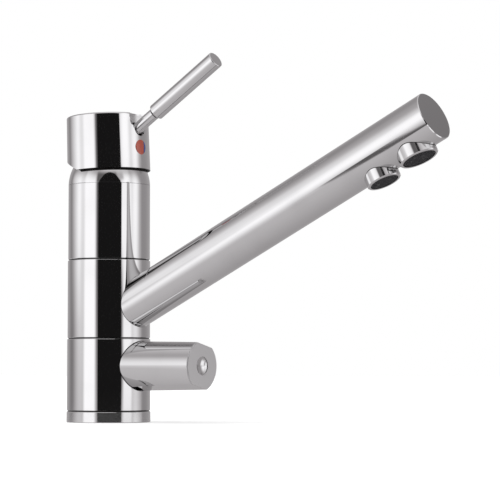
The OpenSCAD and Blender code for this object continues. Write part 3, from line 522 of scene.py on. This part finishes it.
def turned_brass(settings):
    """Bare brass with the tool's fine turning lines."""
    material, graph = new_material("turned_brass")
    place = graph.place()
    lines = graph.noise(place, scale=5200, detail=1, stretch=(0.02, 0.02, 1))
    stain = graph.noise(place, scale=120, detail=4).smooth(0.45, 0.75)
    graph.surface({
        "Base Color": tint(graph, settings.brass, stain, 0.22),
        "Metallic": 1.0,
        "Roughness": 0.22 + lines * 0.14 + stain * 0.1,
        "Normal": graph.bump(lines, distance=0.02 * MM),
    })
    return material


def brushed_steel(settings):
    """Plain stainless steel, finely brushed along one way."""
    material, graph = new_material("brushed_steel")
    place = graph.place()
    lines = graph.noise(place, scale=4200, stretch=(0.05, 1, 1))
    graph.surface({
        "Base Color": tint(graph, settings.steel, lines, 0.12),
        "Metallic": 1.0,
        "Roughness": 0.24 + lines * 0.16,
        "Normal": graph.bump(lines, distance=0.015 * MM),
    })
    return material


def drawn_wire(settings):
    """Dull drawn wire with a little scale from hard water."""
    material, graph = new_material("drawn_wire")
    place = graph.place()
    draw = graph.noise(place, scale=6000)
    scale = graph.noise(place, scale=420, detail=3).smooth(0.56, 0.8)
    graph.surface({
        "Base Color": graph.mix(scale, tuple(settings.wire), LIME),
        "Metallic": 1.0 - scale * 0.6,
        "Roughness": 0.34 + draw * 0.14 + scale * 0.2,
        "Normal": graph.bump(draw, distance=0.01 * MM),
    })
    return material


def soft_rubber(settings):
    """Matt black sealing rubber with a dusty bloom."""
    material, graph = new_material("soft_rubber")
    place = graph.place()
    bloom = graph.noise(place, scale=300, detail=4).smooth(0.48, 0.8)
    grain = graph.noise(place, scale=4500, detail=3)
    graph.surface({
        "Base Color": graph.mix(bloom, tuple(settings.rubber), RUBBER_BLOOM),
        "Roughness": 0.55 + grain * 0.2,
        "Normal": graph.bump(grain, distance=0.03 * MM),
    })
    return material


def moulded_plastic(name, colour, rough, grain_scale):
    """Moulded plastic: a fine spark-eroded grain and slow flow shades."""
    material, graph = new_material(name)
    place = graph.place()
    flow = graph.noise(place, scale=45)
    grain = graph.noise(place, scale=grain_scale, detail=3)
    graph.surface({
        "Base Color": tint(graph, colour, flow, 0.14),
        "Roughness": rough + grain * 0.16,
        "Normal": graph.bump(grain, distance=0.02 * MM),
    })
    return material


def lapped_ceramic(settings):
    """Lapped ceramic: nearly mirror flat, with faint darker speckles."""
    material, graph = new_material("lapped_ceramic")
    place = graph.place()
    speckle = graph.noise(place, scale=2400, detail=3).smooth(0.58, 0.7)
    lap = graph.noise(place, scale=900)
    graph.surface({
        "Base Color": tint(graph, settings.ceramic, speckle, 0.1),
        "Roughness": 0.12 + lap * 0.1,
        "Normal": graph.bump(lap, distance=0.006 * MM),
    })
    return material


def index_enamel(settings):
    """Glossy enamel, hot on the near side and cold on the far side, with a dark line between."""
    material, graph = new_material("index_enamel")
    place = graph.place()
    across = graph.value("ShaderNodeSeparateXYZ", None, {"Vector": place}, "Y")
    far = across.smooth(INDEX_SPLIT - INDEX_BLEND, INDEX_SPLIT + INDEX_BLEND)
    full, end = INDEX_LINE
    line = across.smooth(INDEX_SPLIT - end, INDEX_SPLIT - full) \
        * (1 - across.smooth(INDEX_SPLIT + full, INDEX_SPLIT + end))
    cloud = graph.noise(place, scale=700, detail=3)
    halves = graph.mix(far, tuple(settings.hot), tuple(settings.cold))
    shaded = graph.mix(cloud * 0.25, halves, ENAMEL_CLOUD)
    graph.surface({
        "Base Color": graph.mix(line, shaded, ENAMEL_LINE),
        "Roughness": 0.16 + cloud * 0.1,
        "Coat Weight": 0.6,
        "Coat Roughness": 0.06,
        "Normal": graph.bump(cloud, distance=0.01 * MM),
    })
    return material


def dress(nodes, material):
    """Gives CAD nodes a finish, and leaves their shapes alone."""
    for name in nodes:
        piece = frame["nodes"][name]
        if not piece.material_slots:
            piece.data.materials.append(material)
        for slot in piece.material_slots:
            slot.material = material


def add_piece(name, points, faces, material, body):
    """A new mesh piece that rides on a body of the frame."""
    mesh = bpy.data.meshes.new(name)
    mesh.from_pydata(points, [], faces)
    mesh.validate()
    mesh.shade_smooth()
    mesh.materials.append(material)
    piece = bpy.data.objects.new(name, mesh)
    bpy.context.scene.collection.objects.link(piece)
    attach(piece, body)


def tube_along(centres, ways, up, radius, sides, points, faces):
    """Appends a closed round tube along a line of points."""
    first = len(points)
    for centre, way in zip(centres, ways):
        side = way.cross(up).normalized()
        lift = side.cross(way).normalized()
        for k in range(sides):
            turn = 2 * math.pi * k / sides
            points.append(centre + radius * (math.cos(turn) * side + math.sin(turn) * lift))
    rings = len(centres)
    for i in range(rings - 1):
        for k in range(sides):
            a = first + i * sides + k
            b = first + i * sides + (k + 1) % sides
            faces.append((a, b, b + sides, a + sides))
    faces.append(tuple(first + k for k in reversed(range(sides))))
    last = first + (rings - 1) * sides
    faces.append(tuple(last + k for k in range(sides)))


def mount(name):
    """Where a mount of the record is, which way it faces and its measures."""
    found = next(each for each in frame["record"]["mounts"] if each["name"] == name)
    return Vector(found["pos_m"]), Vector(found["axis"]).normalized(), found.get("dims")


def node_disc(node, centre, axis):
    """How far a round node reaches along an axis and across it."""
    arms = [point - centre for point in points_of(node)]
    radius = max((arm - arm.dot(axis) * axis).length for arm in arms)
    return max(arm.dot(axis) for arm in arms), radius


# Sides of a wire, and steps along it for each pitch of the weave
WIRE_SIDES = 6
WEAVE_STEPS = 4


def woven_screen(name, mount_name, insert, settings, material):
    """A plain weave of wires, laid on the face of an aerator insert inside its rim."""
    centre, axis, _ = mount(mount_name)
    face, radius = node_disc(insert, centre, axis)
    wire_r, pitch = settings.wire_d / 2, settings.wire_pitch
    middle = centre + axis * (face + 2 * wire_r)
    across = Vector((0, 1, 0))
    along = axis.cross(across)
    reach = radius - settings.screen_gap - wire_r
    count = int(reach / pitch)
    points, faces = [], []
    for family, (way, side) in enumerate(((across, along), (along, -across))):
        sign = 1 - 2 * family
        for i in range(-count, count + 1):
            offset = i * pitch
            half = math.sqrt(reach * reach - offset * offset)
            steps = max(WEAVE_STEPS, round(2 * WEAVE_STEPS * half / pitch))
            centres, ways = [], []
            for k in range(steps + 1):
                t = -half + 2 * half * k / steps
                phase = math.pi * (t / pitch + i)
                lift = sign * wire_r * math.cos(phase)
                slope = -sign * wire_r * math.sin(phase) * math.pi / pitch
                centres.append(middle + way * t + side * offset + axis * lift)
                ways.append((way + axis * slope).normalized())
            tube_along(centres, ways, axis, wire_r, WIRE_SIDES, points, faces)
    add_piece(name, points, faces, material, "spout")


# A thread's crest in section: how far past the hole's wall in crests, and where along the hole in
# pitches. Then its steps to a turn, the pitches left plain at each end, and the share of its width
# that is left where it runs out.
THREAD_SECTION = ((0.05, -0.32), (-1, -0.06), (-1, 0.06), (0.05, 0.32))
THREAD_STEPS = 40
THREAD_PLAIN = 0.75
THREAD_NARROW = 0.2


def thread_ridge(name, mount_name, pitch, share, material):
    """The crest of an internal thread: one ridge that winds up the wall of a hole."""
    mouth, axis, dims = mount(mount_name)
    radius = dims["r_mm"] * MM
    depth = dims["length_mm"] * MM
    inward = -axis
    side = Vector(FORWARD)
    back = inward.cross(side)
    crest = pitch * share
    turns = depth / pitch - 2 * THREAD_PLAIN
    steps = int(turns * THREAD_STEPS)
    run_out = THREAD_STEPS / 3
    points, faces = [], []
    for i in range(steps + 1):
        turn = 2 * math.pi * i / THREAD_STEPS
        out = math.cos(turn) * side + math.sin(turn) * back
        rise = pitch * (THREAD_PLAIN + i / THREAD_STEPS)
        fade = min(1, i / run_out, (steps - i) / run_out)
        width = pitch * (THREAD_NARROW + (1 - THREAD_NARROW) * fade)
        for deep, wide in THREAD_SECTION:
            reach = radius + deep * crest * (fade if deep < 0 else 1)
            points.append(mouth + out * reach + inward * (rise + wide * width))
    n = len(THREAD_SECTION)
    for i in range(steps):
        for k in range(n):
            a, b = i * n + k, i * n + (k + 1) % n
            faces.append((a, a + n, b + n, b))
    faces.append(tuple(range(n)))
    faces.append(tuple(steps * n + k for k in reversed(range(n))))
    add_piece(name, points, faces, material, "pillar")


class TAP_OT_polished(bpy.types.Operator):
    """Chrome on every outer piece, with painted shade and rough metal at the joints and a blasted
    end on the knob
    """
    bl_idname = "tap.polished"
    bl_label = "Chromed pieces"

    def execute(self, context):
        finish, detail = context.scene.tap_finish, context.scene.tap_detail
        dress(POLISHED, polished_chrome(finish))
        for node, mask in self.joints(detail):
            haze = finish.haze if node == "base_ring" else 0.0
            satin = cap_notch(detail) if node == "handle_cap" else None
            name = node + "_chrome"
            dress([node], polished_chrome(finish, name, dull_and_shaded=mask, satin=satin, haze=haze))
        end = node_range("filter_handle", FORWARD)[1]
        edge = end - detail.blasted
        # The two bands add up, so the knob's chamfer comes out coarser than its face
        blasted = bands(FORWARD, (edge, BEYOND), (edge, end - detail.face_depth))
        dress(["filter_handle"], polished_chrome(finish, "filter_handle_chrome", satin=blasted))
        return {"FINISHED"}

    def joints(self, detail):
        """The nodes with a joint in sight, each with its mask of painted shade and rough metal."""
        # Each mask paints shade where pieces meet: the base ring's top, the groove, the drums' end
        # faces, the roots of the spout and the outlets, the ring round the lever's neck and the
        # cap's inside.
        skin, line, ring = detail.face_depth, detail.joint_width, detail.lever_ring
        base_top = node_range("base_ring", UP)[1]
        yield "base_ring", bands(UP, (base_top - skin, BEYOND))
        top = node_range("lower_body", UP)[1]
        groove = (base_top - skin, base_top + detail.groove + skin)
        yield "lower_body", bands(UP, groove, (top - skin, BEYOND))
        low, high = node_range("spout_ring", UP)
        yield "spout_ring", bands(UP, (0, low + skin), (high - skin, BEYOND))
        yield "upper_body", bands(UP, (0, node_range("upper_body", UP)[0] + skin))
        yield "handle_cap", cap_inside_shade(detail)
        ring_r = -node_range("spout_ring", FORWARD)[0]
        yield "spout_tube", close_to((0, 0, 0), UP, ring_r + line)
        axis, _, end = flat_face("spout_end_disc", (1, 0, 1), lean=30)
        spout_r = max((point - end).cross(axis).length for point in points_of("spout_end_disc"))
        for bush in ("main_outlet_bush", "filter_outlet_bush"):
            yield bush, close_to(end, axis, spout_r + line)
        back, start, _ = grip_start()
        yield "lever_neck", bands(back, (start - ring, start + ring))


class TAP_OT_inner_metal(bpy.types.Operator):
    """Brass and steel inside the tap"""
    bl_idname = "tap.inner_metal"
    bl_label = "Brass and steel pieces"

    def execute(self, context):
        finish = context.scene.tap_finish
        dress(TURNED_BRASS, turned_brass(finish))
        dress(STEEL, brushed_steel(finish))
        return {"FINISHED"}


class TAP_OT_seals(bpy.types.Operator):
    """Rubber of the gasket and seals"""
    bl_idname = "tap.seals"
    bl_label = "Seals"

    def execute(self, context):
        dress(RUBBER, soft_rubber(context.scene.tap_finish))
        return {"FINISHED"}


class TAP_OT_plastics(bpy.types.Operator):
    """Moulded pieces and the hose"""
    bl_idname = "tap.plastics"
    bl_label = "Plastic pieces"

    def execute(self, context):
        finish = context.scene.tap_finish
        for nodes, name, colour, rough, grain_scale in (
                (WHITE_PLASTIC, "white_plastic", finish.white_plastic, 0.34, 3800),
                (GREY_PLASTIC, "grey_plastic", finish.grey_plastic, 0.38, 3800),
                (AERATOR_INSERTS + SLIP_RINGS, "insert_plastic", finish.insert, 0.4, 5200),
                (HOSE, "hose_plastic", finish.hose, 0.26, 2000)):
            dress(nodes, moulded_plastic(name, colour, rough, grain_scale))
        return {"FINISHED"}


class TAP_OT_ceramics(bpy.types.Operator):
    """Ceramic discs of the cartridge and the filter valve"""
    bl_idname = "tap.ceramics"
    bl_label = "Ceramic discs"

    def execute(self, context):
        dress(CERAMIC, lapped_ceramic(context.scene.tap_finish))
        return {"FINISHED"}


class TAP_OT_index(bpy.types.Operator):
    """Red and blue button in the cap"""
    bl_idname = "tap.index"
    bl_label = "Index button"

    def execute(self, context):
        dress([BUTTON], index_enamel(context.scene.tap_finish))
        return {"FINISHED"}


class TAP_OT_screens(bpy.types.Operator):
    """Woven wire screens inside both outlets"""
    bl_idname = "tap.screens"
    bl_label = "Outlet screens"

    def execute(self, context):
        detail = context.scene.tap_detail
        wire = drawn_wire(context.scene.tap_finish)
        for outlet, insert in zip(("main_outlet", "filtered_outlet"), AERATOR_INSERTS):
            woven_screen(outlet + "_screen", outlet, insert, detail, wire)
        return {"FINISHED"}


class TAP_OT_threads(bpy.types.Operator):
    """Thread crests in the stud's hole and the three inlets"""
    bl_idname = "tap.threads"
    bl_label = "Threads"

    def execute(self, context):
        detail = context.scene.tap_detail
        brass = frame["nodes"]["core_column"].material_slots[0].material
        thread_ridge("stud_thread", "deck_stud", detail.stud_pitch, detail.thread_share, brass)
        for inlet in ("filter_inlet", "hot_inlet", "cold_inlet"):
            thread_ridge(inlet + "_thread", inlet, detail.inlet_pitch, detail.thread_share, brass)
        return {"FINISHED"}


# The studio that the chrome mirrors is made of panels round the tap. Each has the azimuth of its
# middle and half its width, with 0 at the camera and 90 to the camera's right, the heights of its
# lower and upper edge over the horizon, the softness of its sides, its lower and its upper edge,
# all in degrees, and its level of light. A later panel stands in front of an earlier one.
StudioPanel = namedtuple(
    "StudioPanel", "name azimuth half low high side_soft low_soft high_soft level")
PANELS = (
    StudioPanel("floor under the left wall", -114, 13, -22, -3, 6, 8, 2, 0.95),
    StudioPanel("floor under the left corner", -143, 9, -18, -3, 4, 6, 2, 1.0),
    StudioPanel("floor under the back door", -170, 9, -16, -3, 2, 5, 2, 0.03),
    StudioPanel("floor under the back window", 148, 8, -16, -3, 3, 5, 2, 0.95),
    StudioPanel("floor under the right wall", 90, 13, -24, -1.6, 6, 8, 1, 0.95),
    StudioPanel("floor under the window on the right", 53, 12, -24, -1.6, 5, 8, 1, 0.95),
    StudioPanel("pale wall on the left", -82.2, 25, -1.1, 33.4, 26.7, 6.9, 25, 0.85),
    StudioPanel("bright curtain on the left", -105, 18.7, 2.4, 17, 8.8, 2.1, 11, 1.1),
    StudioPanel("dark wall on the left", -155, 42, -1.8, 13, 30, 1, 25, 0.06),
    StudioPanel("window on the left", -51.6, 16.9, -20.5, 29, 5.3, 16.4, 25, 1.08),
    StudioPanel("window on the right", 51.5, 10.3, 2.6, 39, 12.2, 1, 25, 1.08),
    StudioPanel("shutter beside the doorway", 36.2, 7.8, 15.6, 48, 6.4, 6.8, 2.7, 0.47),
    StudioPanel("pale wall on the right", 87, 13.4, -1.3, 30, 15, 7, 25, 1.05),
    StudioPanel("dark corner on the right", 132, 34, -2, 44, 15, 7.7, 4, 0.285),
    StudioPanel("backdrop", 187, 35, -14, 43, 30, 12.8, 22, 0.347),
    StudioPanel("dark picture on the right wall", 126, 12, 24, 30, 6, 4, 4, 0.175),
    StudioPanel("skylight above the doorway", 25, 50, 40, 77, 30, 12.5, 7, 0.7),
    StudioPanel("floor before the doorway", 5.5, 33, -24, -1.65, 3, 6, 0.08, 0.045),
    StudioPanel("lower window on the right", 56.7, 12.6, -1.7, 6.5, 5, 1, 4.9, 0.98),
)
# The arched doorway behind the camera: azimuth and half width at its foot, the heights where its
# sides start to lean in and where its arch ends, how far they lean in and how soft they are as
# shares, its level of light, the height of its sill and how soft that is
Doorway = namedtuple("Doorway", "azimuth half foot top lean soft level sill sill_soft")
DOORWAY = Doorway(5.5, 33, 9, 37, 0.58, 0.1, 0.008, -1.75, 0.08)
# A dark batten on the left: azimuth and height of both ends, half its width, the softness of its
# sides and of its ends, and its level of light
Batten = namedtuple("Batten", "first last half soft end_soft level")
BATTEN = Batten((-53.6, -23.2), (-43.9, -42.9), 0.25, 1.3, 0.004, 0.1)
# The ceiling's level near the walls and higher up, and the heights between which it changes
CEILING = (0.118, 0.55)
CEILING_RISE = (30, 58)
# The floor's level, the azimuth at which it is brightest and how much brighter it is there
GROUND = 0.41
GROUND_TURN = -52
GROUND_SHADE = 0.12
# The heights between which the floor gives way to the ceiling
HORIZON = (-4.9, 3.8)
# Colour cast of the dim walls and of the bright windows, and the levels between which it changes
DIM_CAST = (1, 0.955, 0.972, 1)
BRIGHT_CAST = (0.992, 0.986, 1, 1)
CAST_RISE = (0.15, 0.95)
# Width of the camera's sensor in millimetres, its nearest and furthest view, and the way to the lamp
SENSOR_WIDTH = 36
VIEW_RANGE = (0.01, 50)
LAMP_WAY = (-0.25, -0.45, 1)


def sine(degrees):
    return math.sin(math.radians(degrees))


def sight(azimuth, rise, yaw):
    """The direction from the tap to an azimuth and a height over the horizon, in degrees."""
    turn = yaw + math.radians(azimuth)
    level = math.cos(math.radians(rise))
    return Vector((math.sin(turn) * level, -math.cos(turn) * level, sine(rise)))


def panel_mask(graph, rise, flat, panel, yaw):
    """Where a panel stands: 1 on it and 0 off it."""
    facing = graph.dot(flat, sight(panel.azimuth, 0, yaw))
    outer = math.cos(math.radians(panel.half + panel.side_soft))
    inner = math.cos(math.radians(max(0, panel.half - panel.side_soft)))
    above = rise.smooth(sine(panel.low - panel.low_soft), sine(panel.low + panel.low_soft))
    below = 1 - rise.smooth(
        sine(panel.high - panel.high_soft), sine(min(90, panel.high + panel.high_soft)))
    return facing.smooth(outer, inner) * above * below


def doorway_mask(graph, rise, flat, yaw):
    """Where the doorway is, with its sides leaning in to a rounded arch."""
    door = DOORWAY
    facing = graph.dot(flat, sight(door.azimuth, 0, yaw))
    aside = (1 - facing) / (1 - math.cos(math.radians(door.half)))
    high = ((rise - sine(door.foot)) / (sine(door.top) - sine(door.foot))).larger(0)
    edge = (aside ** 0.5 + high * door.lean) ** 4 + high ** 8
    arch = 1 - edge.smooth(1 - door.soft, 1 + door.soft)
    return arch * rise.smooth(sine(door.sill - door.sill_soft), sine(door.sill + door.sill_soft))


def batten_mask(graph, way, yaw):
    """Where the batten is: a thin band from one direction to another."""
    first = sight(*BATTEN.first, yaw)
    last = sight(*BATTEN.last, yaw)
    middle = (first + last).normalized()
    across = graph.dot(way, first.cross(last).normalized())
    band = 1 - (across * across).smooth(
        sine(BATTEN.half) ** 2, sine(BATTEN.half + BATTEN.soft) ** 2)
    end = first.dot(middle)
    return band * graph.dot(way, middle).smooth(end - BATTEN.end_soft, end + BATTEN.end_soft)


def between(low, high, share):
    """From low to high as share goes from 0 to 1."""
    return low + (high - low) * share


def studio_level(graph, way, yaw):
    """How bright the studio looks from the tap, in the direction way."""
    rise = graph.value("ShaderNodeSeparateXYZ", None, {"Vector": way}, "Z")
    flat = graph.vector("NORMALIZE", graph.vector("MULTIPLY", way, (1, 1, 0)))
    ground = GROUND + graph.dot(way, sight(GROUND_TURN, 0, yaw)) * GROUND_SHADE
    ceiling = between(*CEILING, rise.smooth(*map(sine, CEILING_RISE)))
    level = between(ground, ceiling, rise.smooth(*map(sine, HORIZON)))
    for panel in PANELS:
        level = between(level, panel.level, panel_mask(graph, rise, flat, panel, yaw))
    level = between(level, DOORWAY.level, doorway_mask(graph, rise, flat, yaw))
    return between(level, BATTEN.level, batten_mask(graph, way, yaw))


class TAP_OT_stage(bpy.types.Operator):
    """Camera, pale floor, studio and lamp"""
    bl_idname = "tap.stage"
    bl_label = "Stage"

    def execute(self, context):
        stage = context.scene.tap_stage
        self.camera(context, stage)
        self.floor(context, stage)
        self.world(context, stage)
        self.lamp(context, stage)
        context.scene.view_settings.view_transform = "Standard"
        return {"FINISHED"}

    def camera(self, context, stage):
        """Stands low before the tap and looks slightly up."""
        data = bpy.data.cameras.new("camera")
        data.lens = stage.lens
        data.sensor_width = SENSOR_WIDTH
        data.clip_start, data.clip_end = VIEW_RANGE
        camera = bpy.data.objects.new("camera", data)
        camera.location = stage.camera_place
        camera.rotation_euler = (stage.camera_pitch, 0, stage.camera_yaw)
        context.scene.collection.objects.link(camera)
        context.scene.camera = camera

    def floor(self, context, stage):
        """A floor that the chrome doesn't mirror, because the studio has its own."""
        half = stage.floor_size / 2
        mesh = bpy.data.meshes.new("floor")
        corners = [(-half, -half, 0), (half, -half, 0), (half, half, 0), (-half, half, 0)]
        mesh.from_pydata(corners, [], [(0, 1, 2, 3)])
        floor = bpy.data.objects.new("floor", mesh)
        context.scene.collection.objects.link(floor)
        floor.location.z = CAD_BOX[0][2]
        material, graph = new_material("floor")
        rays = graph.node("ShaderNodeLightPath")
        matt = graph.node("ShaderNodeBsdfDiffuse", None, {"Color": tuple(stage.floor_colour)})
        lift = Value(graph, rays.outputs["Is Camera Ray"]) * stage.floor_lift
        glow = graph.node("ShaderNodeEmission", None, {"Color": WHITE, "Strength": lift})
        both = graph.node("ShaderNodeAddShader", None, {0: matt.outputs[0], 1: glow.outputs[0]})
        graph.node("ShaderNodeOutputMaterial", None, {"Surface": both.outputs[0]})
        mesh.materials.append(material)
        floor.visible_glossy = False
        floor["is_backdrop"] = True

    def world(self, context, stage):
        """The studio for mirror rays, even daylight for soft light, and white behind the tap."""
        world = bpy.data.worlds.new("studio")
        context.scene.world = world
        graph = Graph(world)
        way = graph.node("ShaderNodeTexCoord").outputs["Generated"]
        rays = graph.node("ShaderNodeLightPath")
        mirrored = Value(graph, rays.outputs["Is Glossy Ray"])
        seen = Value(graph, rays.outputs["Is Camera Ray"]).larger(
            Value(graph, rays.outputs["Is Transmission Ray"]))
        studio = studio_level(graph, way, stage.camera_yaw)
        cast = graph.mix(studio.smooth(*CAST_RISE), DIM_CAST, BRIGHT_CAST)
        level = between(stage.daylight, studio * stage.glare, mirrored)
        back = graph.node("ShaderNodeBackground", None, {
            "Color": graph.mix(mirrored, WHITE, cast), "Strength": between(level, 1, seen)})
        graph.node("ShaderNodeOutputWorld", None, {"Surface": back.outputs[0]})

    def lamp(self, context, stage):
        """A wide soft lamp overhead, which the chrome doesn't mirror."""
        data = bpy.data.lights.new("lamp", "SUN")
        data.energy = stage.sun
        data.angle = stage.sun_width
        lamp = bpy.data.objects.new("lamp", data)
        way = Vector(LAMP_WAY).normalized()
        turn = way.to_track_quat("Z", "Y").to_matrix().to_4x4()
        lamp.matrix_world = Matrix.Translation(way) @ turn
        lamp.visible_glossy = False
        context.scene.collection.objects.link(lamp)


OPERATORS = (
    TAP_OT_polished, TAP_OT_inner_metal, TAP_OT_seals, TAP_OT_plastics, TAP_OT_ceramics,
    TAP_OT_index, TAP_OT_screens, TAP_OT_threads, TAP_OT_stage,
)
GROUPS = (
    ("tap_finish", TapFinishSettings),
    ("tap_detail", TapDetailSettings),
    ("tap_stage", TapStageSettings),
)


class TAP_PT_panel(bpy.types.Panel):
    """Lists the tap's settings and steps"""
    bl_idname = "TAP_PT_panel"
    bl_label = "Kitchen tap"
    bl_space_type = "VIEW_3D"
    bl_region_type = "UI"
    bl_category = "Tap"

    def draw(self, context):
        for name, group in GROUPS:
            box = self.layout.box()
            for setting in group.__annotations__:
                box.prop(getattr(context.scene, name), setting)
        for operator in OPERATORS:
            self.layout.operator(operator.bl_idname)


def register():
    for name, group in GROUPS:
        bpy.utils.register_class(group)
        setattr(bpy.types.Scene, name, bpy.props.PointerProperty(type=group))
    for kind in (*OPERATORS, TAP_PT_panel):
        bpy.utils.register_class(kind)


def unregister():
    for kind in reversed((*OPERATORS, TAP_PT_panel)):
        bpy.utils.unregister_class(kind)
    for name, group in reversed(GROUPS):
        delattr(bpy.types.Scene, name)
        bpy.utils.unregister_class(group)


def main():
    """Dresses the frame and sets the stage."""
    register()
    bpy.ops.tap.stage()
    bpy.ops.tap.polished()
    bpy.ops.tap.inner_metal()
    bpy.ops.tap.seals()
    bpy.ops.tap.plastics()
    bpy.ops.tap.ceramics()
    bpy.ops.tap.index()
    bpy.ops.tap.screens()
    bpy.ops.tap.threads()
    [[list(corner) for corner in box] for box in (CAD_BOX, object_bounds())]


if __name__ == "__main__":
    main()
